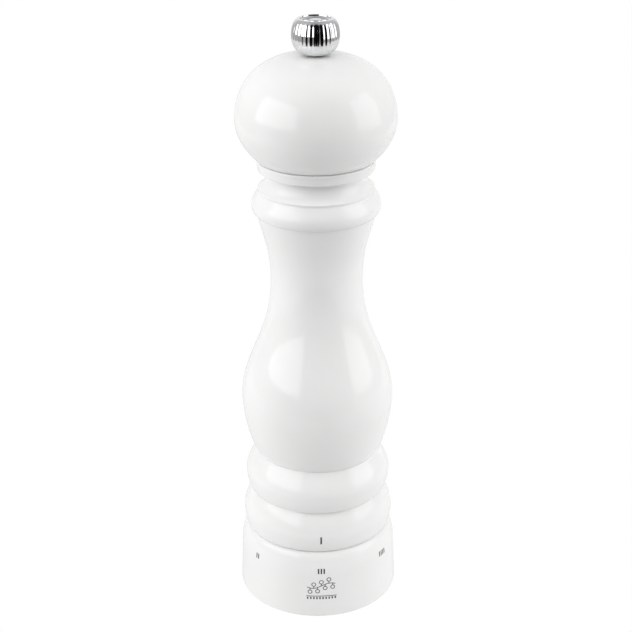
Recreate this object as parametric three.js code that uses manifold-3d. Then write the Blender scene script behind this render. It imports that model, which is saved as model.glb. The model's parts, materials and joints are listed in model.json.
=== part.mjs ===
// A turned pepper mill: lacquered beech body and head, an adjusting ring at the foot that sets the
// grind, and a steel grinding mechanism hung from the body's underside.
// Millimetres, +Z up, origin at the centre of the foot, the front towards -Y.
import * as THREE from 'three';
import { mergeVertices } from 'three/addons/utils/BufferGeometryUtils.js';
import Module from 'manifold-3d';

const wasm = await Module();
wasm.setup();

// ---------------------------------------------------------------- driving dimensions
const HEIGHT = 220;
const GAP = 0.3; // seating or running clearance between neighbouring pieces
const TURNED_SEGMENTS = 32; // facets round the large turned pieces
const SMALL_SEGMENTS = 24; // facets round washers, collars and bores

// Outside of the adjusting ring.
const RING = { footR: 29.8, edge: 1.2, shoulderR: 29.2, shoulderZ: 17, topR: 25.7, topZ: 26.6 };
const BODY_Z = RING.topZ + GAP; // underside of the body

// Outside of the body, from the lower bead to the seam under the head.
const LOW_BEAD = { startR: 26.3, r: 28.0, z: 32.8 };
const LOW_CREASE = { r: 24.6, z: 42.2 };
const HIGH_BEAD = { r: 26.9, z: 49.5 };
const HIGH_CREASE = { r: 22.9, z: 58.3 };
const BELLY = { r: 27.9, z: 80.1 };
const WAIST = { r: 16.6, z: 126.3 };
const NECK = { r: 21.1, z: 151.4 };
const COLLAR = { r: 22.9, z: 154.4 };
const COLLAR_CREASE = { r: 20.5, z: 159.8 };
const LIP = { r: 20.6, z: 160.5 };
const NOTCH = { r: 17.7, z: 166.3 };
const CAP_BEAD = { r: 20.6, z: 167.8 };
const BODY_TOP = { r: 21.0, z: 171.1 };

// Outside of the head.
const HEAD_SEAT = { r: 20.9, z: BODY_TOP.z + GAP };
const HEAD_MAX = { r: 28.2, z: 185.2 };
const HEAD_TOP = { r: 3.8, z: 207.5 };

// Pepper chamber and the recesses turned into the body's underside.
const BORE_R = 12.5;
const PLATE = { r: 22.5, thickness: 2.4, throatR: 12.6, screwCircle: 20.3 };
const FOOT_RECESS = { r: 18.4, topZ: 33.0 };
const BRIDGE_RECESS = { r: 14.7, topZ: 43.0, coneZ: 45.2 };

// Threads: the adjusting screw at the foot, and the spindle thread under the knob.
const LIFT_THREAD = { pitch: 2.4, depth: 1.2, nutR: 20.4, clearance: 0.5, rows: 5 };
const SPINDLE_THREAD = { pitch: 0.7, depth: 0.35, rootR: 1.65, turns: 8, rows: 4 };

// Mechanism housing, ring nut and stator carrier.
const SLEEVE = { outerR: 17.4, innerR: 15.4, footZ: 8.0, slotWidth: 7.0, slotTopZ: 20.5 };
const CLIP_GROOVE = { r: 16.4, z: 21.8, height: 1.8 };
const NUT = { r: 24.0, flangeR: 25.6, footZ: 2.0, flangeZ: 3.6, lipR: 17.9, lipZ: 23.6, pocketR: 21.3 };
const NUT_THREAD_Z = { low: 9.0, high: 19.8 };
const CARRIER = { innerR: 12.3, outerR: 15.1, footZ: 8.7, topZ: 25.2 };
const LUG = { width: 6.4, lowZ: 10.8, highZ: 18.0 };

// Grind settings: six notches, one of them at the front.
const SETTING_STEP = 54; // degrees
const SETTINGS = [-2, -1, 0, 1, 2, 3];
const DETENT = { circle: 20.4, width: 2.6, thickness: 0.5, halfLength: 6, z: 27.9 };
const DETENT_BUMP = { half: 1.5, flatHalf: 0.4, drop: 1.2 };

// Rotor and stator: a fine cone below, a coarse feed above, both about one neck height.
const CONE_SLOPE = 0.32;
const ROTOR = { neckR: 7.4, neckZ: 13.4, footZ: 7.4, topR: 5.6, topZ: 21.0, recessR: 5.4, recessZ: 10.4 };
const STATOR = { gap: 0.43, outerR: 12.0, flangeR: 15.1, footZ: 6.9, flangeZ: 8.4, topZ: 19.6 };
const STATOR_MOUTH_R = 11.3;
const FINE_TEETH = { count: 24, depth: 0.5, twist: 0.05 };
const COARSE_TEETH = { count: 8, depth: 1.3, twist: 0.05 };
const TOOTHED_SEGMENTS = 48;

// Spindle: a square bar with a threaded stub at each end.
const SPINDLE = { side: 5, lowZ: 10.6, highZ: 201, stubR: 1.9, stubZ: 5.6, tipZ: 213 };
const SPINDLE_GROOVE = { r: 2.2, z: 42.4, height: 1.0 };
const BRIDGE = { width: 10.4, thickness: 1.2, legX: 13.2, footX: 17.3, topZ: 42.2, holeR: 3.9 };
const BRIDGE_SCREW_X = 15.4;
const SPRING = { r: 4.6, wireR: 0.5, turns: 6 };
const SPRING_WASHER = { r: 6.2, thickness: 0.8 };

// Head tenon, drive plate and knob.
const TENON = { r: 12.1, footZ: 158.8, boreR: 4.0, boreTopZ: 202.5, neckR: 2.6 };
const DRIVE_PLATE = { r: 10.5, thickness: 1.2, screwX: 7.5 };
const KNOB = { footR: 3.8, r: 8.3, z: 214, rimR: 5.7, boreR: 2.3 };
const KNOB_DISH = { r: 4.7, depth: 0.9, bossR: 2.2, bossHeight: 0.4 };
const KNOB_WASHER = { r: 3.2, boreR: 2.3, thickness: 0.3, clearance: 0.1 };
const FLUTES = { count: 34, depth: 0.4 };

// Fasteners, washers and clips.
const HOUSING_SCREW = { headR: 1.9, headHeight: 1.4, shankR: 1.0, length: 11, countersunk: true };
const STATOR_SCREW = { headR: 1.3, headHeight: 0.9, shankR: 0.65, length: 6, countersunk: true };
const BRIDGE_SCREW = { headR: 1.7, headHeight: 1.1, shankR: 0.75, length: 4.6, countersunk: false };
const PLATE_SCREW = { headR: 1.8, headHeight: 1.1, shankR: 0.9, length: 10.5, countersunk: false };
const STATOR_SCREW_CIRCLE = 13.7;
const RETAINING_RING = { r: 19.4, thickness: 1.2, opening: 3.6 };
const SPINDLE_CLIP = { r: 5.4, thickness: 0.6, opening: 3.6 };
const ROTOR_WASHER = { r: 4.8, thickness: 1.0 };
const ROTOR_NUT = { r: 4.0, z: 6.2, height: 2.6 };

// ---------------------------------------------------------------- materials
const finish = (color, roughness, metalness) =>
  () => new THREE.MeshStandardMaterial({ color, roughness, metalness });
const whiteLacquer = finish(0xf3f2ef, 0.12, 0);
const chrome = finish(0xd9dcdf, 0.06, 1);
const hardenedSteel = finish(0x6d7074, 0.38, 1);
const brightSteel = finish(0xa9adb1, 0.3, 1);
const springSteel = finish(0x8b8f94, 0.32, 1);
const blackPlastic = finish(0x26272a, 0.5, 0);
const darkNylon = finish(0x3a3b3d, 0.55, 0);

// ---------------------------------------------------------------- outlines and solids
// An outline in the plane of radius and height, drawn from point to point.
class Outline {
  constructor(r, z) {
    this.points = [new THREE.Vector2(r, z)];
  }

  get end() {
    return this.points.at(-1);
  }

  to(r, z) {
    this.points.push(new THREE.Vector2(r, z));
    return this;
  }

  // Quarter ellipse that leaves level and arrives upright.
  swell({ r, z }, steps) {
    const { x: r0, y: z0 } = this.end;
    for (let i = 1; i <= steps; i++) {
      const a = (i / steps) * (Math.PI / 2);
      this.to(r0 + (r - r0) * Math.sin(a), z - (z - z0) * Math.cos(a));
    }
    return this;
  }

  // Quarter ellipse that leaves upright and arrives level.
  settle({ r, z }, steps) {
    const { x: r0, y: z0 } = this.end;
    for (let i = 1; i <= steps; i++) {
      const a = (i / steps) * (Math.PI / 2);
      this.to(r + (r0 - r) * Math.cos(a), z0 + (z - z0) * Math.sin(a));
    }
    return this;
  }

  // Cubic curve with a handle at each end, each an offset from its own end.
  sweep([handleR0, handleZ0], [handleR1, handleZ1], { r, z }, steps) {
    const start = this.end.clone();
    const finishPoint = new THREE.Vector2(r, z);
    const curve = new THREE.CubicBezierCurve(
      start,
      start.clone().add(new THREE.Vector2(handleR0, handleZ0)),
      finishPoint.clone().add(new THREE.Vector2(handleR1, handleZ1)),
      finishPoint,
    );
    this.points.push(...curve.getPoints(steps).slice(1));
    return this;
  }

  closed() {
    this.points.push(this.points[0].clone());
    return this;
  }
}

// A closed solid from any closed geometry, whichever way its faces were wound.
function toSolid(geometry) {
  geometry.deleteAttribute('normal');
  geometry.deleteAttribute('uv');
  const merged = mergeVertices(geometry, 1e-4);
  const vertProperties = Float32Array.from(merged.attributes.position.array);
  const corner = (i) => new THREE.Vector3().fromArray(vertProperties, 3 * i);
  const faces = [];
  let volume = 0;
  for (let i = 0; i < merged.index.count; i += 3) {
    const [a, b, c] = [0, 1, 2].map((k) => merged.index.getX(i + k));
    if (a === b || b === c || c === a) continue;
    faces.push([a, b, c]);
    volume += corner(a).dot(corner(b).cross(corner(c)));
  }
  const wound = volume < 0 ? faces.map(([a, b, c]) => [a, c, b]) : faces;
  const triVerts = Uint32Array.from(wound.flat());
  return new wasm.Manifold(new wasm.Mesh({ numProp: 3, vertProperties, triVerts }));
}

function toGeometry(solid) {
  const { vertProperties, triVerts } = solid.getMesh();
  const geometry = new THREE.BufferGeometry();
  geometry.setAttribute('position', new THREE.BufferAttribute(vertProperties, 3));
  geometry.setIndex(new THREE.BufferAttribute(triVerts, 1));
  geometry.computeVertexNormals();
  return geometry;
}

// A turned solid. bulge(r, z, angle) may push the surface in or out, for teeth, flutes and threads.
function turned(outline, segments = SMALL_SEGMENTS, bulge = null) {
  const geometry = new THREE.LatheGeometry(outline.points, segments).rotateX(Math.PI / 2);
  if (bulge) {
    const position = geometry.attributes.position;
    for (let i = 0; i < position.count; i++) {
      const r = Math.hypot(position.getX(i), position.getY(i));
      const angle = Math.atan2(position.getY(i), position.getX(i));
      const stretch = r > 0 ? (r + bulge(r, position.getZ(i), angle)) / r : 1;
      position.setX(i, position.getX(i) * stretch);
      position.setY(i, position.getY(i) * stretch);
    }
  }
  return toSolid(geometry);
}

function cylinder(r, z0, z1, x = 0, y = 0, segments = 12) {
  const geometry = new THREE.CylinderGeometry(r, r, z1 - z0, segments).rotateX(Math.PI / 2);
  return toSolid(geometry.translate(x, y, (z0 + z1) / 2));
}

function box(sizeX, sizeY, z0, z1, x = 0, y = 0) {
  return toSolid(new THREE.BoxGeometry(sizeX, sizeY, z1 - z0).translate(x, y, (z0 + z1) / 2));
}

// Round washer or collar.
function washer(outerR, innerR, z0, z1) {
  return turned(new Outline(innerR, z0).to(outerR, z0).to(outerR, z1).to(innerR, z1).closed());
}

// Copies of a solid at equal angles round the axis, the first at the given angle in degrees.
function around(solid, count, firstDegrees) {
  return Array.from({ length: count }, (_, i) => solid.rotate([0, 0, firstDegrees + (i * 360) / count]));
}

const cutAll = (solid, cutters) => cutters.reduce((left, cutter) => left.subtract(cutter), solid);
const joinAll = (solids) => solids.reduce((left, right) => left.add(right));

// Trapezoidal wave, 0 in the root and 1 on the crest, for a right-hand thread.
function threadWave(z, angle, pitch) {
  const phase = THREE.MathUtils.euclideanModulo(z / pitch - angle / (2 * Math.PI), 1);
  return THREE.MathUtils.clamp(1.5 - 4 * Math.abs(phase - 0.5), 0, 1);
}

// Sawtooth wave, 0 at the cutting edge and 1 in the gullet.
function toothWave(z, angle, { count, twist }) {
  return THREE.MathUtils.euclideanModulo((count * (angle + twist * z)) / (2 * Math.PI), 1);
}

const part = new THREE.Group();

function addPiece(name, solid, material) {
  const mesh = new THREE.Mesh(toGeometry(solid), material());
  mesh.name = name;
  part.add(mesh);
  return mesh;
}

// ---------------------------------------------------------------- wooden shells
function millBody() {
  const outline = new Outline(LOW_BEAD.startR, BODY_Z)
    .swell(LOW_BEAD, 3)
    .sweep([0, 4.0], [0.3, -0.9], LOW_CREASE, 4)
    .swell(HIGH_BEAD, 4)
    .sweep([0, 2.7], [0.3, -0.9], HIGH_CREASE, 4)
    .sweep([1.9, 2.3], [0, -8.2], BELLY, 5)
    .sweep([0, 14.9], [0, -22.0], WAIST, 7)
    .sweep([0, 12.6], [-1.2, -6.8], NECK, 5)
    .swell(COLLAR, 3)
    .sweep([0, 2.4], [0, -0.6], COLLAR_CREASE, 3)
    .swell(LIP, 2)
    .sweep([-1.7, 1.0], [-0.1, -3.2], NOTCH, 4)
    .sweep([0.3, 0.5], [0, -0.8], CAP_BEAD, 3)
    .to(BODY_TOP.r, BODY_TOP.z - 0.4)
    .to(BODY_TOP.r - 0.4, BODY_TOP.z)
    .to(BORE_R + 0.5, BODY_TOP.z)
    .to(BORE_R, BODY_TOP.z - 0.5)
    .to(BORE_R, BRIDGE_RECESS.coneZ)
    .to(BRIDGE_RECESS.r, BRIDGE_RECESS.topZ)
    .to(BRIDGE_RECESS.r, FOOT_RECESS.topZ)
    .to(FOOT_RECESS.r, FOOT_RECESS.topZ)
    .to(FOOT_RECESS.r, BODY_Z + PLATE.thickness + GAP)
    .to(PLATE.r + GAP, BODY_Z + PLATE.thickness + GAP)
    .to(PLATE.r + GAP, BODY_Z)
    .closed();
  const holeTop = BODY_Z + HOUSING_SCREW.length + 2 * GAP;
  const pilotHole = cylinder(HOUSING_SCREW.shankR + GAP, BODY_Z, holeTop, PLATE.screwCircle, 0);
  return cutAll(turned(outline, TURNED_SEGMENTS), around(pilotHole, 3, 90));
}

function millHead() {
  const outline = new Outline(TENON.boreR, TENON.footZ)
    .to(TENON.r - 0.6, TENON.footZ)
    .to(TENON.r, TENON.footZ + 0.6)
    .to(TENON.r, HEAD_SEAT.z)
    .to(HEAD_SEAT.r, HEAD_SEAT.z)
    .sweep([2.2, 1.7], [0, -6.4], HEAD_MAX, 6)
    .sweep([0, 12.2], [16.2, 0], HEAD_TOP, 8)
    .to(TENON.neckR, HEAD_TOP.z)
    .to(TENON.neckR, TENON.boreTopZ)
    .to(TENON.boreR, TENON.boreTopZ)
    .closed();
  const holeTop = TENON.footZ + PLATE_SCREW.length - DRIVE_PLATE.thickness;
  const pilotHole = cylinder(PLATE_SCREW.shankR + GAP, TENON.footZ - 1, holeTop, DRIVE_PLATE.screwX, 0);
  return cutAll(turned(outline, TURNED_SEGMENTS), around(pilotHole, 2, 0));
}

function adjustingRing() {
  const flangeR = NUT.flangeR + GAP;
  const boreR = NUT.r + GAP;
  const outline = new Outline(flangeR + 0.4, 0)
    .to(RING.footR - RING.edge, 0)
    .swell({ r: RING.footR, z: RING.edge }, 3)
    .to(RING.shoulderR, RING.shoulderZ)
    .settle({ r: RING.topR, z: RING.topZ }, 6)
    .to(boreR, RING.topZ)
    .to(boreR, NUT.flangeZ + GAP)
    .to(flangeR, NUT.flangeZ + GAP)
    .to(flangeR, 0.4)
    .closed();
  return turned(outline, TURNED_SEGMENTS);
}

// ---------------------------------------------------------------- fasteners
// A cross-recessed screw whose head face is at z = 0 and whose shank points up.
function screw({ headR, headHeight, shankR, length, countersunk }) {
  const outline = new Outline(0, 0).to(headR, 0);
  if (!countersunk) outline.to(headR, headHeight);
  outline.to(shankR, headHeight).to(shankR, length - shankR).to(0, length);
  const slotLength = headR * 1.25;
  const slotDepth = headHeight * 0.55;
  const slots = [box(slotLength, 0.45, -1, slotDepth), box(0.45, slotLength, -1, slotDepth)];
  return cutAll(turned(outline, 10), slots);
}

// Screws round the axis at equal angles, driven upwards from height z.
function addScrewCircle(name, screwSolid, count, radius, z, firstDegrees) {
  for (let i = 0; i < count; i++) {
    const angle = THREE.MathUtils.degToRad(firstDegrees + (i * 360) / count);
    const mesh = addPiece(`${name}_${i + 1}`, screwSolid, brightSteel);
    mesh.position.set(radius * Math.cos(angle), radius * Math.sin(angle), z);
    mesh.rotation.z = angle;
  }
}

// ---------------------------------------------------------------- grind adjustment
// The seat of a countersunk screw: its own cone and shank, wider by the clearance.
function countersunkSeat({ headR, headHeight, shankR }, z, topZ, x) {
  const outline = new Outline(0, z - 1)
    .to(headR + GAP, z - 1)
    .to(headR + GAP, z)
    .to(shankR + GAP, z + headHeight)
    .to(shankR + GAP, topZ)
    .to(0, topZ);
  return turned(outline, 12).translate([x, 0, 0]);
}

// Plate screwed under the body, with a slotted sleeve that guides the stator carrier.
function mechanismHousing() {
  const plateTop = BODY_Z + PLATE.thickness;
  const grooveTop = CLIP_GROOVE.z + CLIP_GROOVE.height;
  const outline = new Outline(PLATE.throatR, plateTop)
    .to(PLATE.r, plateTop)
    .to(PLATE.r, BODY_Z)
    .to(SLEEVE.outerR, BODY_Z)
    .to(SLEEVE.outerR, grooveTop)
    .to(CLIP_GROOVE.r, grooveTop)
    .to(CLIP_GROOVE.r, CLIP_GROOVE.z)
    .to(SLEEVE.outerR, CLIP_GROOVE.z)
    .to(SLEEVE.outerR, SLEEVE.footZ)
    .to(SLEEVE.innerR, SLEEVE.footZ)
    .to(SLEEVE.innerR, BODY_Z)
    .to(PLATE.throatR, BODY_Z)
    .closed();
  const slot = box(SLEEVE.outerR, SLEEVE.slotWidth, SLEEVE.footZ - 1, SLEEVE.slotTopZ, SLEEVE.outerR, 0);
  const screwSeat = countersunkSeat(HOUSING_SCREW, BODY_Z, plateTop + 1, PLATE.screwCircle);
  const bridgeHole = cylinder(BRIDGE_SCREW.shankR + GAP, BODY_Z + 0.4, plateTop + 1, BRIDGE_SCREW_X, 0);
  const pocketLength = 2 * DETENT.halfLength + 2 * GAP;
  const pocketWidth = DETENT.width + 2 * GAP;
  const pocket = box(pocketLength, pocketWidth, BODY_Z - 1, DETENT.z + GAP, 0, -DETENT.circle);
  return cutAll(turned(outline, TURNED_SEGMENTS), [
    ...around(slot, 3, 30),
    ...around(screwSeat, 3, 90),
    ...around(bridgeHole, 2, 0),
    pocket,
  ]);
}

// Internal thread pressed into the adjusting ring, with a notch for each grind setting on top.
function ringNut() {
  const { pitch, depth, nutR, rows } = LIFT_THREAD;
  const outline = new Outline(NUT.flangeR, NUT.footZ)
    .to(NUT.flangeR, NUT.flangeZ)
    .to(NUT.r, NUT.flangeZ)
    .to(NUT.r, RING.topZ)
    .to(NUT.lipR, RING.topZ)
    .to(NUT.lipR, NUT.lipZ)
    .to(NUT.pocketR, NUT.lipZ)
    .to(NUT.pocketR, NUT_THREAD_Z.high + GAP);
  for (let z = NUT_THREAD_Z.high; z > NUT_THREAD_Z.low - 0.01; z -= pitch / rows) outline.to(nutR, z);
  outline.to(nutR + depth, NUT_THREAD_Z.low - 1).to(nutR + depth + 0.6, NUT.footZ).closed();
  const thread = (r, z, angle) => (Math.abs(r - nutR) < 0.01 ? depth * threadWave(z, angle, pitch) : 0);
  const notchSide = 2.6;
  const notch = toSolid(
    new THREE.BoxGeometry(notchSide, DETENT.width + 2, notchSide).rotateY(Math.PI / 4),
  ).translate([0, -DETENT.circle, RING.topZ + 1.0]);
  const notches = SETTINGS.map((step) => notch.rotate([0, 0, step * SETTING_STEP]));
  return cutAll(turned(outline, SMALL_SEGMENTS, thread), notches);
}

// Ring that holds the stator. Its three lugs pass through the sleeve's slots into the ring nut.
function statorCarrier() {
  const { pitch, depth, nutR, clearance, rows } = LIFT_THREAD;
  const rootR = nutR - clearance;
  const ring = new Outline(CARRIER.innerR, CARRIER.footZ)
    .to(CARRIER.outerR, CARRIER.footZ)
    .to(CARRIER.outerR, CARRIER.topZ)
    .to(CARRIER.innerR + 0.8, CARRIER.topZ)
    .to(CARRIER.innerR, CARRIER.topZ - 0.8)
    .closed();
  const collar = new Outline(CARRIER.outerR - 0.6, LUG.lowZ);
  for (let z = LUG.lowZ; z < LUG.highZ + 0.01; z += pitch / rows) collar.to(rootR, z);
  collar.to(CARRIER.outerR - 0.6, LUG.highZ).closed();
  const thread = (r, z, angle) => (Math.abs(r - rootR) < 0.01 ? depth * threadWave(z, angle, pitch) : 0);
  const sector = box(12, LUG.width, LUG.lowZ - 1, LUG.highZ + 1, 19, 0);
  const lugs = turned(collar, 60, thread).intersect(joinAll(around(sector, 3, 30)));
  const screwR = STATOR_SCREW.shankR + GAP;
  const screwHole = cylinder(screwR, CARRIER.footZ - 1, 13.6, STATOR_SCREW_CIRCLE, 0, 8);
  return cutAll(turned(ring, TURNED_SEGMENTS).add(lugs), around(screwHole, 3, 90));
}

// Open ring in the sleeve's groove, which carries the adjusting ring.
function retainingRing() {
  const z = CLIP_GROOVE.z + GAP;
  const top = z + RETAINING_RING.thickness;
  const ring = washer(RETAINING_RING.r, CLIP_GROOVE.r + GAP, z, top);
  return ring.subtract(box(RETAINING_RING.opening, 6, z - 1, top + 1, 0, RETAINING_RING.r - 1.4));
}

// Leaf spring whose bump drops into the ring nut's notches.
function detentSpring() {
  const { halfLength, thickness } = DETENT;
  const { half, flatHalf, drop } = DETENT_BUMP;
  const side = [
    [-halfLength, 0],
    [-half, 0],
    [-flatHalf, -drop],
    [flatHalf, -drop],
    [half, 0],
    [halfLength, 0],
  ];
  const lower = side.map(([x, z]) => new THREE.Vector2(x, z - thickness));
  const upper = side.map(([x, z]) => new THREE.Vector2(x, z)).reverse();
  const strip = new THREE.ExtrudeGeometry(new THREE.Shape([...lower, ...upper]), {
    depth: DETENT.width,
    bevelEnabled: false,
  });
  strip.rotateX(Math.PI / 2).translate(0, DETENT.width / 2 - DETENT.circle, DETENT.z);
  return toSolid(strip);
}

// ---------------------------------------------------------------- grinding set
// Cone radius at a height: the same slope on both pieces, so lowering the stator closes the gap.
const coneR = (z, neckR) => neckR + (ROTOR.neckZ - z) * CONE_SLOPE;

function stator() {
  const neckR = ROTOR.neckR + STATOR.gap;
  const outline = new Outline(STATOR.flangeR, STATOR.footZ)
    .to(STATOR.flangeR, STATOR.flangeZ)
    .to(STATOR.outerR, STATOR.flangeZ)
    .to(STATOR.outerR, STATOR.topZ)
    .to(STATOR_MOUTH_R, STATOR.topZ)
    .sweep([-1.6, -1.2], [0.1, 2.0], { r: neckR, z: ROTOR.neckZ + 0.4 }, 4)
    .to(neckR, ROTOR.neckZ)
    .to(coneR(10.2, neckR), 10.2)
    .to(coneR(STATOR.footZ, neckR), STATOR.footZ)
    .closed();
  const teeth = (r, z, angle) => {
    if (r > STATOR_MOUTH_R - 0.01) return 0;
    if (z > ROTOR.neckZ + 0.1) return 0.6 * COARSE_TEETH.depth * toothWave(z, angle, COARSE_TEETH);
    return FINE_TEETH.depth * toothWave(z, angle, FINE_TEETH);
  };
  const seat = countersunkSeat(STATOR_SCREW, STATOR.footZ, STATOR.flangeZ + 1, STATOR_SCREW_CIRCLE);
  return cutAll(turned(outline, TOOTHED_SEGMENTS, teeth), around(seat, 3, 90));
}

function rotor() {
  const outline = new Outline(0, ROTOR.footZ)
    .to(ROTOR.recessR + 0.6, ROTOR.footZ)
    .to(coneR(ROTOR.footZ, ROTOR.neckR) - 0.1, ROTOR.footZ)
    .to(coneR(10.4, ROTOR.neckR), 10.4)
    .to(ROTOR.neckR, ROTOR.neckZ)
    .to(ROTOR.neckR - 0.5, ROTOR.neckZ + 2.2)
    .to(ROTOR.neckR - 1.0, ROTOR.neckZ + 4.4)
    .to(ROTOR.topR + 0.3, ROTOR.topZ - 0.8)
    .to(ROTOR.topR, ROTOR.topZ)
    .to(0, ROTOR.topZ);
  const teeth = (r, z, angle) => {
    if (r < ROTOR.recessR + 0.7 && z < ROTOR.neckZ) return 0;
    if (z > ROTOR.topZ - 0.1) return 0;
    const wave = z > ROTOR.neckZ + 0.1 ? COARSE_TEETH : FINE_TEETH;
    return -wave.depth * toothWave(z, -angle, wave);
  };
  const square = SPINDLE.side + 2 * GAP;
  return cutAll(turned(outline, TOOTHED_SEGMENTS, teeth), [
    box(square, square, ROTOR.footZ - 1, ROTOR.topZ + 1),
    cylinder(ROTOR.recessR, ROTOR.footZ - 1, ROTOR.recessZ, 0, 0, SMALL_SEGMENTS),
  ]);
}

// ---------------------------------------------------------------- spindle
function driveShaft() {
  const { side, lowZ, highZ, stubR, stubZ, tipZ } = SPINDLE;
  const { pitch, depth, rootR, turns, rows } = SPINDLE_THREAD;
  const bar = box(side, side, lowZ, highZ);
  const { r: grooveR, z: grooveZ, height: grooveHeight } = SPINDLE_GROOVE;
  const groove = washer(side, grooveR, grooveZ, grooveZ + grooveHeight);
  const stub = cylinder(stubR, stubZ, lowZ + 1);
  const neck = new Outline(0, highZ - 1).to(rootR + depth, highZ - 1);
  const threadLow = tipZ - 0.6 - turns * pitch;
  neck.to(rootR + depth, threadLow - 0.4);
  for (let i = 0; i <= turns * rows; i++) neck.to(rootR, threadLow + (i * pitch) / rows);
  neck.to(rootR - 0.4, tipZ).to(0, tipZ);
  const thread = (r, z, angle) => (Math.abs(r - rootR) < 0.01 ? depth * threadWave(z, angle, pitch) : 0);
  return joinAll([bar.subtract(groove), stub, turned(neck, 10, thread)]);
}

// Steel strap across the chamber that steadies the spindle.
function bearingBridge() {
  const { thickness, legX, footX, topZ } = BRIDGE;
  const footZ = BODY_Z + PLATE.thickness + GAP;
  const right = [
    [legX - thickness - 0.4, topZ - thickness],
    [legX - thickness, topZ - thickness - 0.8],
    [legX - thickness, footZ],
    [footX, footZ],
    [footX, footZ + thickness],
    [legX, footZ + thickness],
    [legX, topZ - 0.8],
    [legX - 0.8, topZ],
  ];
  const left = right.map(([x, z]) => [-x, z]).reverse();
  const corners = [...right, ...left].map(([x, z]) => new THREE.Vector2(x, z));
  const strap = new THREE.ExtrudeGeometry(new THREE.Shape(corners), {
    depth: BRIDGE.width,
    bevelEnabled: false,
  });
  strap.rotateX(Math.PI / 2).translate(0, BRIDGE.width / 2, 0);
  const screwHoleR = BRIDGE_SCREW.shankR + GAP;
  const screwHole = cylinder(screwHoleR, footZ - 1, footZ + thickness + 1, BRIDGE_SCREW_X, 0);
  const spindleHole = cylinder(BRIDGE.holeR, topZ - thickness - 1, topZ + 1, 0, 0, SMALL_SEGMENTS);
  return cutAll(toSolid(strap), [...around(screwHole, 2, 0), spindleHole]);
}

class Helix extends THREE.Curve {
  constructor(r, z0, z1, turns) {
    super();
    Object.assign(this, { r, z0, z1, turns });
  }

  getPoint(t, target = new THREE.Vector3()) {
    const angle = 2 * Math.PI * this.turns * t;
    const z = this.z0 + (this.z1 - this.z0) * t;
    return target.set(this.r * Math.cos(angle), this.r * Math.sin(angle), z);
  }
}

// Coil spring that presses the rotor down onto its washer.
function pressureSpring(z0, z1) {
  const path = new Helix(SPRING.r, z0 + SPRING.wireR, z1 - SPRING.wireR, SPRING.turns);
  const wire = new THREE.Shape().absarc(0, 0, SPRING.wireR, 0, 2 * Math.PI);
  const coil = new THREE.ExtrudeGeometry(wire, {
    steps: SPRING.turns * 12,
    curveSegments: 3,
    extrudePath: path,
  });
  return toSolid(coil);
}

function rotorNut() {
  const top = ROTOR_NUT.z + ROTOR_NUT.height;
  const threadHole = cylinder(SPINDLE.stubR + GAP, ROTOR_NUT.z - 1, top + 1);
  return cylinder(ROTOR_NUT.r, ROTOR_NUT.z, top, 0, 0, 6).subtract(threadHole);
}

// Open clip above the bridge, which stops the spring pushing the spindle down.
function spindleClip() {
  const z = SPINDLE_GROOVE.z + 0.2;
  const top = z + SPINDLE_CLIP.thickness;
  const ring = washer(SPINDLE_CLIP.r, SPINDLE_GROOVE.r + GAP, z, top);
  return ring.subtract(box(SPINDLE_CLIP.opening, 6, z - 1, top + 1, 0, SPINDLE_CLIP.r - 1.4));
}

// ---------------------------------------------------------------- head fittings
// Steel plate under the tenon, whose square hole turns the spindle.
function drivePlate() {
  const z = TENON.footZ - GAP - DRIVE_PLATE.thickness;
  const square = SPINDLE.side + 2 * GAP;
  const screwHole = cylinder(PLATE_SCREW.shankR + GAP, z - 1, z + 3, DRIVE_PLATE.screwX, 0);
  const disc = cylinder(DRIVE_PLATE.r, z, z + DRIVE_PLATE.thickness, 0, 0, TURNED_SEGMENTS);
  return cutAll(disc, [box(square, square, z - 1, z + 3), ...around(screwHole, 2, 0)]);
}

// Fluted knob with a dished top, a blind threaded bore and a seat for its washer in the foot.
function knob() {
  const footZ = HEAD_TOP.z + GAP;
  const seatR = KNOB_WASHER.r + GAP;
  const seatZ = HEAD_TOP.z + KNOB_WASHER.thickness + 2 * KNOB_WASHER.clearance;
  const dishZ = HEIGHT - KNOB_DISH.depth;
  const outline = new Outline(KNOB.boreR, seatZ)
    .to(seatR, seatZ)
    .to(seatR, footZ)
    .to(KNOB.footR, footZ)
    .swell(KNOB, 4)
    .settle({ r: KNOB.rimR, z: HEIGHT }, 3)
    .to(KNOB_DISH.r, HEIGHT)
    .to(KNOB_DISH.r - 0.5, dishZ)
    .to(KNOB_DISH.bossR, dishZ)
    .to(KNOB_DISH.bossR - 0.5, dishZ + KNOB_DISH.bossHeight)
    .to(0, dishZ + KNOB_DISH.bossHeight)
    .to(0, SPINDLE.tipZ + 1)
    .to(KNOB.boreR, SPINDLE.tipZ + 1)
    .closed();
  const flute = (r, z, angle) => {
    if (r < KNOB.rimR + 0.4 || z < footZ + 0.1) return 0;
    return -FLUTES.depth * (0.5 - 0.5 * Math.cos(FLUTES.count * (angle + Math.PI / 2)));
  };
  return turned(outline, 2 * FLUTES.count, flute);
}

// ---------------------------------------------------------------- assembly
addPiece('mill_body', millBody(), whiteLacquer);
addPiece('mill_head', millHead(), whiteLacquer);
addPiece('adjusting_ring', adjustingRing(), whiteLacquer);

addPiece('mechanism_housing', mechanismHousing(), blackPlastic);
addPiece('ring_nut', ringNut(), blackPlastic);
addPiece('stator_carrier', statorCarrier(), blackPlastic);
addPiece('retaining_ring', retainingRing(), springSteel);
addPiece('detent_spring', detentSpring(), springSteel);
addScrewCircle('housing_screw', screw(HOUSING_SCREW), 3, PLATE.screwCircle, BODY_Z, 90);

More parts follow.
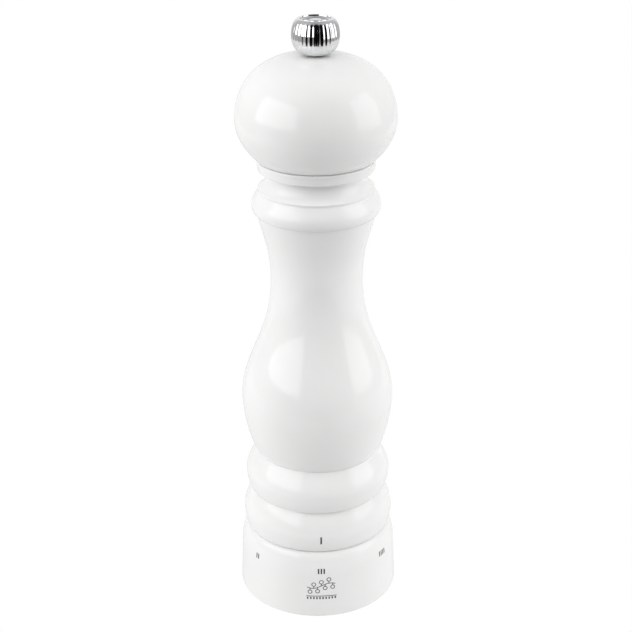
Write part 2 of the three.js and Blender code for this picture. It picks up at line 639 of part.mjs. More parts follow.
addPiece('stator', stator(), hardenedSteel);
addScrewCircle('stator_screw', screw(STATOR_SCREW), 3, STATOR_SCREW_CIRCLE, STATOR.footZ, 90);
addPiece('rotor', rotor(), hardenedSteel);
const rotorWasherTop = ROTOR.recessZ - GAP;
const rotorWasherFoot = rotorWasherTop - ROTOR_WASHER.thickness;
const rotorWasher = washer(ROTOR_WASHER.r, SPINDLE.stubR + GAP, rotorWasherFoot, rotorWasherTop);
addPiece('rotor_washer', rotorWasher, brightSteel);
addPiece('rotor_nut', rotorNut(), brightSteel);

addPiece('bearing_bridge', bearingBridge(), brightSteel);
const bridgeScrewZ = BODY_Z + PLATE.thickness + BRIDGE.thickness + 2 * GAP + BRIDGE_SCREW.headHeight;
for (const side of [-1, 1]) {
  const mesh = addPiece(`bridge_screw_${side < 0 ? 1 : 2}`, screw(BRIDGE_SCREW), brightSteel);
  mesh.position.set(side * BRIDGE_SCREW_X, 0, bridgeScrewZ);
  mesh.rotation.x = Math.PI;
}
const springWasherTop = BRIDGE.topZ - BRIDGE.thickness - GAP;
const springWasherFoot = springWasherTop - SPRING_WASHER.thickness;
const springWasher = washer(SPRING_WASHER.r, BRIDGE.holeR, springWasherFoot, springWasherTop);
addPiece('spring_washer', springWasher, brightSteel);
addPiece('pressure_spring', pressureSpring(ROTOR.topZ + GAP, springWasherFoot - GAP), springSteel);
addPiece('spindle_clip', spindleClip(), springSteel);
addPiece('drive_shaft', driveShaft(), brightSteel);

addPiece('drive_plate', drivePlate(), brightSteel);
const plateScrewZ = TENON.footZ - 2 * GAP - DRIVE_PLATE.thickness - PLATE_SCREW.headHeight;
addScrewCircle('plate_screw', screw(PLATE_SCREW), 2, DRIVE_PLATE.screwX, plateScrewZ, 0);
const knobWasherZ = HEAD_TOP.z + KNOB_WASHER.clearance;
const knobWasherTop = knobWasherZ + KNOB_WASHER.thickness;
addPiece('knob_washer', washer(KNOB_WASHER.r, KNOB_WASHER.boreR, knobWasherZ, knobWasherTop), darkNylon);
addPiece('knob', knob(), chrome);

export default part;
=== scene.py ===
"""Looks of the turned pepper mill: fine lacquered shells, chrome knob, printed marks and the
finishes of the grinding mechanism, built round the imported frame. Metres, +Z up, front at -Y."""

import json
import math

import bmesh
import bpy
import numpy as np
from mathutils import Euler, Matrix, Vector


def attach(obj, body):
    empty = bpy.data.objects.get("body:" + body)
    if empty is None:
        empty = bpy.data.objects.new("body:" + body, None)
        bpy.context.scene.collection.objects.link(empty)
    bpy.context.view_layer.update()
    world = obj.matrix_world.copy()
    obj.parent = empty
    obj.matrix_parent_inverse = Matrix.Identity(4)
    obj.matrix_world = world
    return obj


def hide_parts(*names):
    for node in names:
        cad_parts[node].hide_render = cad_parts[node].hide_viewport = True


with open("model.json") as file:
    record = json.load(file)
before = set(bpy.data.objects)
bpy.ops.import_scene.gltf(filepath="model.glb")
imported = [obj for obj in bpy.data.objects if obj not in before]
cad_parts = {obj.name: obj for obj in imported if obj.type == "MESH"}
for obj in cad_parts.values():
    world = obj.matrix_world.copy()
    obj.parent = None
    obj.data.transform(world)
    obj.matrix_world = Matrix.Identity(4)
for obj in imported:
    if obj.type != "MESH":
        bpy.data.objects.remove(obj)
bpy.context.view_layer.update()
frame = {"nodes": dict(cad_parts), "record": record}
scene = bpy.context.scene
MM = 0.001

# ---------------------------------------------------------------- driving values, in millimetres
# Outline of the turned shells, as radius and height of its landmarks.
RING_FOOT = (29.8, 1.2)
RING_SHOULDER = (29.2, 17.0)
RING_TOP = (25.7, 26.6)
BODY_Z = 26.9
LOW_BEAD_START = 26.3
LOW_BEAD = (28.0, 32.8)
LOW_CREASE = (24.6, 42.2)
HIGH_BEAD = (26.9, 49.5)
HIGH_CREASE = (22.9, 58.3)
BELLY = (27.9, 80.1)
WAIST = (16.6, 126.3)
NECK = (21.1, 151.4)
COLLAR = (22.9, 154.4)
COLLAR_CREASE = (20.5, 159.8)
LIP = (20.6, 160.5)
NOTCH = (17.7, 166.3)
CAP_BEAD = (20.6, 167.8)
BODY_TOP = (21.0, 171.1)
HEAD_SEAT = (20.9, 171.4)
HEAD_MAX = (28.2, 185.2)
HEAD_TOP = (3.8, 207.5)
KNOB_FOOT = (3.8, 207.8)
KNOB_SEAT = (3.5, 208.0)
KNOB_MAX = (8.3, 214.0)
KNOB_RIM = (5.7, 220.0)

SEGMENTS = 192  # facets round the turned shells
FLUTES = 34
FLUTE_FACETS = 12
FLUTE_DEPTH = 0.16
ON_AXIS = 1e-6  # a radius under this is a point on the axis


# ---------------------------------------------------------------- shader helpers
NOISE_LOW, NOISE_HIGH = 0.3, 0.7  # the range that holds nearly all of a noise texture's values


class Shader:
    """A procedural material built on one Principled shader, in object coordinates."""

    def __init__(self, name, **settings):
        self.material = bpy.data.materials.new(name)
        self.material.use_nodes = True
        self.nodes = self.material.node_tree.nodes
        self.links = self.material.node_tree.links
        self.principled = self.nodes["Principled BSDF"]
        self.coordinates = self.nodes.new("ShaderNodeTexCoord").outputs["Object"]
        for socket, value in settings.items():
            self.principled.inputs[socket.replace("_", " ")].default_value = value

    def noise(self, scale, detail, roughness=0.5, stretch=(1, 1, 1), distortion=0.0):
        mapping = self.nodes.new("ShaderNodeMapping")
        mapping.inputs["Scale"].default_value = stretch
        texture = self.nodes.new("ShaderNodeTexNoise")
        texture.inputs["Scale"].default_value = scale
        texture.inputs["Detail"].default_value = detail
        texture.inputs["Roughness"].default_value = roughness
        texture.inputs["Distortion"].default_value = distortion
        self.links.new(self.coordinates, mapping.inputs["Vector"])
        self.links.new(mapping.outputs["Vector"], texture.inputs["Vector"])
        return texture.outputs["Fac"]

    def ramp(self, source, stops):
        node = self.nodes.new("ShaderNodeValToRGB")
        elements = node.color_ramp.elements
        while len(elements) < len(stops):
            elements.new(0.5)
        for element, (position, color) in zip(elements, stops):
            element.position = position
            element.color = (*color, 1.0)
        self.links.new(source, node.inputs["Fac"])
        return node.outputs["Color"]

    def multiply(self, first, second):
        """Product of two colours."""
        node = self.nodes.new("ShaderNodeMix")
        node.data_type = "RGBA"
        node.blend_type = "MULTIPLY"
        sockets = {socket.name: socket for socket in node.inputs if socket.enabled}
        sockets["Factor"].default_value = 1.0
        self.links.new(first, sockets["A"])
        self.links.new(second, sockets["B"])
        return [socket for socket in node.outputs if socket.enabled][0]

    def color(self, source):
        self.links.new(source, self.principled.inputs["Base Color"])
        return self

    def roughness(self, source, low, high):
        """Roughness between two values, over the middle of a noise's range."""
        node = self.nodes.new("ShaderNodeMapRange")
        node.inputs["From Min"].default_value = NOISE_LOW
        node.inputs["From Max"].default_value = NOISE_HIGH
        node.inputs["To Min"].default_value = low
        node.inputs["To Max"].default_value = high
        self.links.new(source, node.inputs["Value"])
        self.links.new(node.outputs["Result"], self.principled.inputs["Roughness"])
        return self

    def bump(self, source, strength, distance):
        node = self.nodes.new("ShaderNodeBump")
        node.inputs["Strength"].default_value = strength
        node.inputs["Distance"].default_value = distance
        self.links.new(source, node.inputs["Height"])
        self.links.new(node.outputs["Normal"], self.principled.inputs["Normal"])
        return self


def white_lacquer():
    """Thick white gloss lacquer with faint warm clouds, polishing haze and orange peel."""
    shader = Shader("white_lacquer", IOR=1.5)
    clouds = shader.noise(scale=38, detail=4)
    tint = shader.ramp(clouds, [(0.3, (0.905, 0.904, 0.896)), (0.7, (0.935, 0.934, 0.928))])
    peel = shader.noise(scale=520, detail=2)
    haze = shader.noise(scale=160, detail=5)
    return shader.color(tint).roughness(haze, 0.035, 0.075).bump(peel, 0.02, 0.0001).material


def raw_beech():
    """Unlacquered turned beech: long grain, short dark flecks and fine turning marks."""
    shader = Shader("raw_beech")
    grain = shader.noise(scale=260, detail=6, roughness=0.6, stretch=(1, 1, 0.05), distortion=0.4)
    flecks = shader.noise(scale=900, detail=2, stretch=(1, 1, 0.12))
    stops = [(0.28, (0.50, 0.31, 0.17)), (0.5, (0.66, 0.45, 0.28)), (0.75, (0.76, 0.57, 0.39))]
    base = shader.ramp(grain, stops)
    dark = shader.ramp(flecks, [(0.60, (1.0, 1.0, 1.0)), (0.72, (0.62, 0.47, 0.36))])
    turning = shader.noise(scale=1500, detail=2, stretch=(0.04, 0.04, 1))
    shader.color(shader.multiply(base, dark)).roughness(grain, 0.55, 0.75)
    return shader.bump(turning, 0.25, 0.0001).material


def chrome():
    """Mirror chrome with faint handling haze and micro waviness."""
    shader = Shader("chrome", Metallic=1.0)
    haze = shader.noise(scale=240, detail=4)
    tint = shader.ramp(haze, [(0.3, (0.80, 0.81, 0.82)), (0.7, (0.88, 0.885, 0.89))])
    wave = shader.noise(scale=700, detail=2)
    return shader.color(tint).roughness(haze, 0.035, 0.09).bump(wave, 0.02, 0.0001).material


def steel(name, dark, light, low, high, stretch):
    """Steel with drawn or turned lines along the stretch, and cloudy reflectance."""
    shader = Shader(name, Metallic=1.0)
    lines = shader.noise(scale=1400, detail=3, stretch=stretch)
    clouds = shader.noise(scale=180, detail=4)
    tint = shader.ramp(clouds, [(0.3, dark), (0.7, light)])
    return shader.color(tint).roughness(lines, low, high).bump(lines, 0.12, 0.0001).material


def plastic(name, dark, light):
    """Moulded plastic with a fine spark-eroded texture."""
    shader = Shader(name)
    cloud = shader.noise(scale=90, detail=3)
    tint = shader.ramp(cloud, [(0.3, dark), (0.7, light)])
    spark = shader.noise(scale=3200, detail=2)
    return shader.color(tint).roughness(spark, 0.38, 0.55).bump(spark, 0.2, 0.00006).material


def print_ink():
    """Pad-printed ink, thin enough that its grey is a little uneven."""
    shader = Shader("print_ink")
    speckle = shader.noise(scale=2600, detail=3)
    tint = shader.ramp(speckle, [(0.35, (0.030, 0.030, 0.034)), (0.7, (0.075, 0.075, 0.080))])
    return shader.color(tint).roughness(speckle, 0.35, 0.5).bump(speckle, 0.1, 0.00002).material


MATERIALS = {
    "white_lacquer": white_lacquer(),
    "raw_beech": raw_beech(),
    "chrome": chrome(),
    "hardened_steel": steel(
        "hardened_steel", (0.20, 0.205, 0.215), (0.32, 0.325, 0.335), 0.30, 0.45, (1, 1, 0.1)
    ),
    "bright_steel": steel(
        "bright_steel", (0.50, 0.51, 0.53), (0.66, 0.67, 0.68), 0.20, 0.34, (1, 1, 0.04)
    ),
    "spring_steel": steel(
        "spring_steel", (0.38, 0.39, 0.41), (0.52, 0.53, 0.54), 0.18, 0.30, (0.3, 0.3, 1)
    ),
    "black_plastic": plastic("black_plastic", (0.016, 0.016, 0.018), (0.030, 0.030, 0.032)),
    "dark_nylon": plastic("dark_nylon", (0.035, 0.035, 0.037), (0.060, 0.060, 0.062)),
    "print_ink": print_ink(),
}


# ---------------------------------------------------------------- turned shells
LACQUERED, RAW = 0, 1  # finish numbers of the turned wood


class Outline:
    """A closed outline in the plane of radius and height. Each stretch keeps its finish number."""

    def __init__(self, r, z):
        self.points = [(r, z)]
        self.finishes = []
        self.finish = LACQUERED

    def paint(self, finish):
        """Sets the finish number of the stretches that follow."""
        self.finish = finish
        return self

    def to(self, r, z):
        self.points.append((r, z))
        self.finishes.append(self.finish)
        return self

    def swell(self, end, steps):
        """Quarter ellipse that leaves level and arrives upright."""
        (r0, z0), (r1, z1) = self.points[-1], end
        for a in np.linspace(0, math.pi / 2, steps + 1)[1:]:
            self.to(r0 + (r1 - r0) * math.sin(a), z1 - (z1 - z0) * math.cos(a))
        return self

    def settle(self, end, steps):
        """Quarter ellipse that leaves upright and arrives level."""
        (r0, z0), (r1, z1) = self.points[-1], end
        for a in np.linspace(0, math.pi / 2, steps + 1)[1:]:
            self.to(r1 + (r0 - r1) * math.cos(a), z0 + (z1 - z0) * math.sin(a))
        return self

    def sweep(self, handle0, handle1, end, steps):
        """Cubic curve with a handle at each end, each an offset from its own end."""
        p0, p3 = np.array(self.points[-1]), np.array(end)
        p1, p2 = p0 + handle0, p3 + handle1
        for t in np.linspace(0, 1, steps + 1)[1:]:
            s = 1 - t
            r, z = s**3 * p0 + 3 * s * s * t * p1 + 3 * s * t * t * p2 + t**3 * p3
            self.to(r, z)
        return self

    def close(self):
        self.finishes.append(self.finish)
        return self


def face_outwards(mesh):
    """Turns every face of a closed mesh to the outside."""
    shape = bmesh.new()
    shape.from_mesh(mesh)
    bmesh.ops.recalc_face_normals(shape, faces=shape.faces)
    shape.to_mesh(mesh)
    shape.free()


def turned(name, outline, finishes, segments=SEGMENTS, bulge=None, sharp=35):
    """A closed turned mesh from an outline. bulge(r, z, angle) pushes the surface in or out."""
    outline.close()
    angles = np.arange(segments) * 2 * math.pi / segments
    rows = []
    vertices = []
    for r, z in outline.points:
        if r < ON_AXIS:
            rows.append([len(vertices)] * segments)
            vertices.append((0.0, 0.0, z * MM))
            continue
        rows.append(list(range(len(vertices), len(vertices) + segments)))
        for a in angles:
            radius = r + (bulge(r, z, a) if bulge else 0.0)
            vertices.append((radius * math.cos(a) * MM, radius * math.sin(a) * MM, z * MM))
    faces = []
    slots = []
    for i, row in enumerate(rows):
        above = rows[(i + 1) % len(rows)]
        for j in range(segments):
            k = (j + 1) % segments
            corners = list(dict.fromkeys([row[j], row[k], above[k], above[j]]))
            if len(corners) > 2:
                faces.append(corners)
                slots.append(outline.finishes[i])
    mesh = bpy.data.meshes.new(name)
    mesh.from_pydata(vertices, [], faces)
    for finish in finishes:
        mesh.materials.append(MATERIALS[finish])
    mesh.polygons.foreach_set("material_index", slots)
    face_outwards(mesh)
    mesh.polygons.foreach_set("use_smooth", [True] * len(mesh.polygons))
    mesh.set_sharp_from_angle(angle=math.radians(sharp))
    piece = bpy.data.objects.new(name, mesh)
    scene.collection.objects.link(piece)
    return piece


def body_outline():
    plate_recess = (22.8, 29.6)
    foot_recess = (18.4, 33.0)
    bridge_recess = (14.7, 43.0)
    bore, funnel = 12.5, 2.2
    top_round, top_chamfer, bare_rim, foot_land = 0.5, 0.5, 2.2, 1.2
    top_r, top_z = BODY_TOP
    return (
        Outline(LOW_BEAD_START, BODY_Z)
        .swell(LOW_BEAD, 14)
        .sweep((0, 4.0), (0.3, -0.9), LOW_CREASE, 24)
        .swell(HIGH_BEAD, 18)
        .sweep((0, 2.7), (0.3, -0.9), HIGH_CREASE, 24)
        .sweep((1.9, 2.3), (0, -8.2), BELLY, 32)
        .sweep((0, 14.9), (0, -22.0), WAIST, 44)
        .sweep((0, 12.6), (-1.2, -6.8), NECK, 28)
        .swell(COLLAR, 10)
        .sweep((0, 2.4), (0, -0.6), COLLAR_CREASE, 16)
        .swell(LIP, 7)
        .sweep((-1.7, 1.0), (-0.1, -3.2), NOTCH, 20)
        .sweep((0.3, 0.5), (0, -0.8), CAP_BEAD, 12)
        .to(top_r, top_z - top_round)
        .settle((top_r - top_round, top_z), 5)
        .to(bore + bare_rim, top_z)
        .paint(RAW)
        .to(bore + top_chamfer, top_z)
        .to(bore, top_z - top_chamfer)
        .to(bore, bridge_recess[1] + funnel)
        .to(*bridge_recess)
        .to(bridge_recess[0], foot_recess[1])
        .to(*foot_recess)
        .to(foot_recess[0], plate_recess[1])
        .to(*plate_recess)
        .to(plate_recess[0], BODY_Z)
        .to(plate_recess[0] + foot_land, BODY_Z)
        .paint(LACQUERED)
    )


def head_outline():
    tenon_r, tenon_z, tenon_chamfer = 12.1, 158.8, 0.6
    bore_r, bore_z, neck_r = 4.0, 202.5, 2.6
    bare_rim, edge_width, edge_height = 2.0, 0.35, 0.3
    seat_r, seat_z = HEAD_SEAT
    return (
        Outline(bore_r, tenon_z)
        .paint(RAW)
        .to(tenon_r - tenon_chamfer, tenon_z)
        .to(tenon_r, tenon_z + tenon_chamfer)
        .to(tenon_r, seat_z)
        .to(tenon_r + bare_rim, seat_z)
        .paint(LACQUERED)
        .to(seat_r - edge_width, seat_z)
        .swell((seat_r, seat_z + edge_height), 4)
        .sweep((2.2, 1.4), (0, -6.4), HEAD_MAX, 34)
        .sweep((0, 12.2), (16.2, 0), HEAD_TOP, 60)
        .to(neck_r, HEAD_TOP[1])
        .paint(RAW)
        .to(neck_r, bore_z)
        .to(bore_r, bore_z)
    )


def ring_outline():
    flange_r, bore_r, flange_z = 25.9, 24.3, 3.9
    foot_chamfer, top_chamfer = 0.4, 0.3
    foot_r, foot_z = RING_FOOT
    return (
        Outline(flange_r + foot_chamfer, 0)
        .to(foot_r - foot_z, 0)
        .swell(RING_FOOT, 8)
        .to(*RING_SHOULDER)
        .settle(RING_TOP, 24)
        .to(bore_r + top_chamfer, RING_TOP[1])
        .paint(RAW)
        .to(bore_r, RING_TOP[1] - top_chamfer)
        .to(bore_r, flange_z)
        .to(flange_r, flange_z)
        .to(flange_r, foot_chamfer)
        .paint(LACQUERED)
    )


def knob_outline():
    dish_r, dish_z, bore_r, bore_z = 4.7, 219.1, 2.3, 214.0
    boss_r, boss_top_r, boss_height, boss_round, boss_crown = 2.2, 0.9, 0.6, 0.25, 0.05
    foot_edge, rim_land, dish_round, boss_foot = 0.12, 0.1, 0.5, 0.3
    (foot_r, foot_z), (seat_r, seat_z), (rim_r, rim_z) = KNOB_FOOT, KNOB_SEAT, KNOB_RIM
    return (
        Outline(bore_r, seat_z)
        .to(seat_r, seat_z)
        .to(seat_r, foot_z)
        .to(foot_r - foot_edge, foot_z)
        .to(foot_r, foot_z + foot_edge)
        .swell(KNOB_MAX, 26)
        .settle((rim_r + rim_land, rim_z), 26)
        .to(rim_r - 4 * rim_land, rim_z)
        .settle((dish_r - dish_round, dish_z), 8)
        .to(boss_r + boss_foot, dish_z)
        .swell((boss_r, dish_z + boss_round), 4)
        .settle((boss_top_r, dish_z + boss_height - boss_crown), 6)
        .to(0, dish_z + boss_height)
        .to(0, bore_z)
        .to(bore_r, bore_z)
    )


def flute(r, z, angle):
    """Concave scallops with narrow lands, fading out towards the foot and the rim."""
    fade_length, foot_margin, rim_margin, land_sharpness = 1.2, 0.4, 0.9, 2.2
    above = z > KNOB_MAX[1]
    margin = r - KNOB_RIM[0] - rim_margin if above else z - KNOB_FOOT[1] - foot_margin
    fade = min(max(margin / fade_length, 0.0), 1.0)
    wave = abs(math.sin(FLUTES * (angle + math.pi / 2) / 2))
    return -FLUTE_DEPTH * fade * (1.0 - wave**land_sharpness)


def shells():
    wood = ("white_lacquer", "raw_beech")
    body = turned("body_shell", body_outline(), wood)
    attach(body, "body")
    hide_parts("mill_body")
    head = turned("head_shell", head_outline(), wood)
    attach(head, "head")
    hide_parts("mill_head")
    ring = turned("ring_shell", ring_outline(), wood)
    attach(ring, "ring")
    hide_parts("adjusting_ring")
    facets = FLUTES * FLUTE_FACETS
    knob = turned("fluted_knob", knob_outline(), ("chrome",), facets, flute, sharp=50)
    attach(knob, "knob")
    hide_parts("knob")


# ---------------------------------------------------------------- printed marks
INK_PROUD = 0.02
INK_SUNK = 0.03
INDEX_Z = (30.9, 33.9)
TALLY_Z = (18.7, 20.8)
TALLY_PITCH = 1.05
SETTINGS = 6
SETTING_STEP = 54  # degrees from one grind setting to the next
FRONT_SETTING = 3


def surface_radius(outline, z):
    """Radius of an outline's outer surface at a height."""
    points = outline.points
    hits = []
    for (r0, z0), (r1, z1) in zip(points, points[1:]):
        if min(z0, z1) <= z <= max(z0, z1) and z0 != z1:
            hits.append(r0 + (r1 - r0) * (z - z0) / (z1 - z0))
    return max(hits)


def printed_strokes(name, outline, body, centre_angle, strokes):
    """Thin ink laid on a turned surface. A stroke is a centre line of (along, height) and a width."""
    vertices = []
    faces = []
    for line, width in strokes:
        path = np.array(line, float)
        ahead = np.gradient(path, axis=0)
        ahead /= np.linalg.norm(ahead, axis=1)[:, None]
        side = np.stack([-ahead[:, 1], ahead[:, 0]], axis=1) * width / 2
        start = len(vertices)
        for u, z in np.stack([path + side, path - side], axis=1).reshape(-1, 2):
            for offset in (INK_PROUD, -INK_SUNK):
                r = surface_radius(outline, z)
                angle = centre_angle + u / r - math.pi / 2
                r += offset
                vertices.append((r * math.cos(angle) * MM, r * math.sin(angle) * MM, z * MM))
        for i in range(len(path) - 1):
            a = start + 4 * i
            b = a + 4
            faces += [(a, b, b + 2, a + 2), (a + 1, a + 3, b + 3, b + 1)]
            faces += [(a, a + 1, b + 1, b), (a + 2, b + 2, b + 3, a + 3)]
        last = start + 4 * (len(path) - 1)
        faces += [(start, start + 2, start + 3, start + 1), (last, last + 1, last + 3, last + 2)]
    mesh = bpy.data.meshes.new(name)
    mesh.from_pydata(vertices, [], faces)
    mesh.materials.append(MATERIALS["print_ink"])
    face_outwards(mesh)
    piece = bpy.data.objects.new(name, mesh)
    scene.collection.objects.link(piece)
    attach(piece, body)


def upright(u, z0, z1, width=0.55):
    return [(u, z) for z in np.linspace(z0, z1, 6)], width


def arc(u, z, radius, start, stop, width, steps):
    """Part of a circle as a stroke, in degrees from the right-hand side."""
    turn = np.radians(np.linspace(start, stop, steps + 1))
    return [(u + radius * math.cos(a), z + radius * math.sin(a)) for a in turn], width


def setting_marks():
    """Index stroke on the body, and one to six tally strokes round the ring."""
    printed_strokes("index_mark", body_outline(), "body", 0.0, [upright(0, *INDEX_Z, width=0.6)])
    for count in range(1, SETTINGS + 1):
        centre = math.radians(SETTING_STEP * (count - FRONT_SETTING))
        offsets = [(i - (count - 1) / 2) * TALLY_PITCH for i in range(count)]
        strokes = [upright(u, *TALLY_Z) for u in offsets]
        printed_strokes(f"setting_mark_{count}", ring_outline(), "ring", centre, strokes)


def sprig_emblem():
    """A peppercorn sprig over a plain toothed rule, in thin lines."""
    half, line = 5.4, 0.28
    stem_middle, stem_wave, stem_bend, stem_tip = 13.6, 1.05, 0.47, 0.2
    berries, berry, stalk, first_stalk, last_stalk = 7, 0.74, 1.6, 1.1, 1.2
    rule_z, rule_margin = 9.2, 0.3
    teeth, tooth, tooth_drop, tooth_inset = 10, 0.9, 0.4, 0.2

    def stem_z(u):
        return stem_middle + stem_wave * math.sin(u * stem_bend)

    stem = [(u, stem_z(u)) for u in np.linspace(-half, half - stem_tip, 28)]
    strokes = [(stem, line)]
    for i, u in enumerate(np.linspace(-half + first_stalk, half - last_stalk, berries)):
        side = 1 if i % 2 else -1
        z = stem_z(u) + side * stalk
        strokes.append(arc(u, z, berry, 0, 360, line, 18))
        strokes.append(([(u, z - side * berry), (u, stem_z(u))], line))
    rule_end = half + rule_margin
    strokes.append(([(u, rule_z) for u in np.linspace(-rule_end, rule_end, 24)], line))
    top = rule_z - tooth_drop
    for u in np.linspace(-half + tooth_inset, half - tooth_inset, teeth):
        strokes.append(([(u, top), (u, top - tooth)], 2 * line))
    printed_strokes("sprig_emblem", ring_outline(), "ring", 0.0, strokes)


# ---------------------------------------------------------------- mechanism finishes
def finish_nodes():
    """Gives every carried-over node its finish."""
    slots = {s["node"]: s["material_slot"] for s in frame["record"]["subparts"]}
    for name, node in frame["nodes"].items():
        node.data.materials.clear()
        node.data.materials.append(MATERIALS[slots[name]])


# ---------------------------------------------------------------- studio
# Light from the room, as soft lobes: the way each comes from, its brightness and how narrow it is.
ROOM_LIGHT = (
    ((0, 0, 1), 0.37, 1),
    ((-1, 0, 0), 0.41, 1),
    ((1, 0, 0), 0.41, 1),
    ((0, 1, 0), 0.89, 4),
)
# The dark side of the room, round the camera: its bearing, height and the two angles of its edge.
DARK_BEARING, DARK_HEIGHT, DARK_INSIDE, DARK_OUTSIDE = (math.radians(a) for a in (5, 12, 38, 58))
DARK_LEVEL = 0.02

# Upright softboxes: bearing, distance, width, foot, top and radiance.
SOFTBOXES = {
    "softbox_left": (-62, 0.68, 0.87, 0.17, 0.75, 1.80),
    "softbox_right": (76, 0.62, 0.48, 0.10, 0.70, 1.32),
}
# Wide fills, kept out of reflections: place, width, height and radiance.
FILLS = {
    "fill_top": ((0.0, -0.5, 1.00), 1.2, 0.8, 1.27),
    "side_left": ((-1.0, -0.25, 0.30), 0.8, 0.8, 0.84),
    "side_right": ((1.0, -0.25, 0.30), 0.8, 0.8, 1.74),
}
FILL_AIM = (0, 0, 0.13)
SHEET_LIGHT = 0.81  # brightness of the white sheet that the mill stands on, as the mill sees it
SHEET_HALF_WIDTH, SHEET_FRONT, SHEET_DROP = 0.6, -0.26, 0.001
FLOOR_REACH = 6.0
SURROUND_RADIUS = 9.0


def way(bearing, height):
    """Unit vector towards a bearing from the front and a height above the horizon."""
    return (
        math.sin(bearing) * math.cos(height),
        -math.cos(bearing) * math.cos(height),
        math.sin(height),
    )


def room():
    """World light: the sum of the lobes, dimmed on the dark side of the room."""
    world = bpy.data.worlds.new("studio_room")
    world.use_nodes = True
    scene.world = world
    nodes, links = world.node_tree.nodes, world.node_tree.links
    direction = nodes.new("ShaderNodeTexCoord").outputs["Generated"]

    def math_node(operation, first, second):
        node = nodes.new("ShaderNodeMath")
        node.operation = operation
        for socket, value in zip(node.inputs, (first, second)):
            if isinstance(value, (int, float)):
                socket.default_value = value
            else:
                links.new(value, socket)
        return node.outputs[0]

    def towards(axis):
        node = nodes.new("ShaderNodeVectorMath")
        node.operation = "DOT_PRODUCT"
        node.inputs[1].default_value = axis
        links.new(direction, node.inputs[0])
        return node.outputs["Value"]

    total = 0.0
    for axis, brightness, narrowness in ROOM_LIGHT:
        lobe = math_node("POWER", math_node("MAXIMUM", towards(axis), 0.0), float(narrowness))
        total = math_node("ADD", math_node("MULTIPLY", lobe, brightness), total)
    edge = nodes.new("ShaderNodeMapRange")
    edge.interpolation_type = "SMOOTHSTEP"
    edge.inputs["From Min"].default_value = math.cos(DARK_OUTSIDE)
    edge.inputs["From Max"].default_value = math.cos(DARK_INSIDE)
    edge.inputs["To Min"].default_value = 1.0
    edge.inputs["To Max"].default_value = DARK_LEVEL
    links.new(towards(way(DARK_BEARING, DARK_HEIGHT)), edge.inputs["Value"])
    background = nodes["Background"]
    background.inputs["Color"].default_value = (1.0, 1.0, 1.0, 1.0)
    links.new(math_node("MULTIPLY", total, edge.outputs["Result"]), background.inputs["Strength"])


def area_light(name, location, aim, width, height, radiance):
    data = bpy.data.lights.new(name, "AREA")
    data.shape = "RECTANGLE"
    data.size, data.size_y = width, height
    data.energy = radiance * math.pi * width * height
    light = bpy.data.objects.new(name, data)
    light.location = location
    light.rotation_euler = (Vector(aim) - Vector(location)).to_track_quat("-Z", "Y").to_euler()
    scene.collection.objects.link(light)
    return light


def lights():
    """Two upright softboxes that show in the gloss, and the fills that don't."""
    for name, (bearing, distance, width, low, high, radiance) in SOFTBOXES.items():
        middle = (low + high) / 2
        x, y, _ = way(math.radians(bearing), 0)
        place, aim = (distance * x, distance * y, middle), (0, 0, middle)
        area_light(name, place, aim, width, high - low, radiance)
    for name, (place, width, height, radiance) in FILLS.items():
        area_light(name, place, FILL_AIM, width, height, radiance).visible_glossy = False


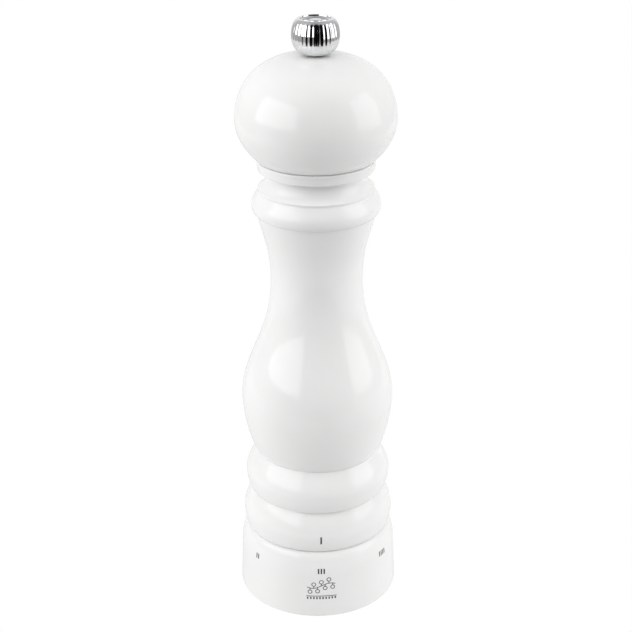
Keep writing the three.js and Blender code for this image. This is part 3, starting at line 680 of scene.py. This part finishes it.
def staged_mesh(name, vertices, faces, brightness, rays):
    """A white glowing piece of the studio that only the named kinds of ray can see."""
    mesh = bpy.data.meshes.new(name)
    mesh.from_pydata(vertices, [], faces)
    shader = Shader(name, Roughness=0.8, Emission_Strength=brightness)
    shader.principled.inputs["Emission Color"].default_value = (1, 1, 1, 1)
    shader.principled.inputs["Base Color"].default_value = (0, 0, 0, 1)
    shader.principled.inputs["Specular IOR Level"].default_value = 0.0
    if "diffuse" not in rays:
        shader.material.cycles.emission_sampling = "NONE"
    mesh.materials.append(shader.material)
    piece = bpy.data.objects.new(name, mesh)
    for ray in ("camera", "diffuse", "glossy", "transmission", "shadow"):
        setattr(piece, f"visible_{ray}", ray in rays)
    scene.collection.objects.link(piece)
    return shader


def rectangle(x, front, z):
    """Corners and face of a level rectangle that runs back to the floor's far edge."""
    back = FLOOR_REACH
    return [(-x, front, z), (x, front, z), (x, back, z), (-x, back, z)], [(0, 1, 2, 3)]


def floor():
    """Plain pale floor and surround for the camera, and the bright sheet that the mill reflects."""
    shader = staged_mesh("floor", *rectangle(FLOOR_REACH, -FLOOR_REACH, 0.0), 1.0, ("camera",))
    nodes, links = shader.nodes, shader.links
    see_through = nodes.new("ShaderNodeBsdfTransparent")
    one_sided = nodes.new("ShaderNodeMixShader")
    links.new(nodes.new("ShaderNodeNewGeometry").outputs["Backfacing"], one_sided.inputs[0])
    links.new(shader.principled.outputs[0], one_sided.inputs[1])
    links.new(see_through.outputs[0], one_sided.inputs[2])
    links.new(one_sided.outputs[0], nodes["Material Output"].inputs["Surface"])
    ball = bmesh.new()
    bmesh.ops.create_icosphere(ball, subdivisions=3, radius=SURROUND_RADIUS)
    corners = [tuple(v.co) for v in ball.verts]
    faces = [[v.index for v in face.verts] for face in ball.faces]
    ball.free()
    staged_mesh("surround", corners, faces, 1.0, ("camera",))
    sheet = rectangle(SHEET_HALF_WIDTH, SHEET_FRONT, -SHEET_DROP)
    staged_mesh("sheet", *sheet, SHEET_LIGHT, ("diffuse", "glossy", "shadow"))


def camera():
    """Camera a little left of the front, looking down on the mill from half a metre."""
    distance, height = 0.50577, 0.33522
    around, down, aside, roll = (math.radians(a) for a in (-2.4, 23.94, 0.036, -0.30))
    data = bpy.data.cameras.new("camera")
    data.sensor_width = 36
    data.lens = 86.5
    view = bpy.data.objects.new("camera", data)
    view.location = (distance * math.sin(around), -distance * math.cos(around), height)
    aim = Euler((math.pi / 2 - down, 0, around + aside)).to_matrix()
    view.rotation_euler = (aim @ Matrix.Rotation(roll, 3, "Z")).to_euler()
    scene.collection.objects.link(view)
    scene.camera = view


scene.view_settings.view_transform = "Standard"
camera()
finish_nodes()
shells()
setting_marks()
sprig_emblem()
room()
lights()
floor()
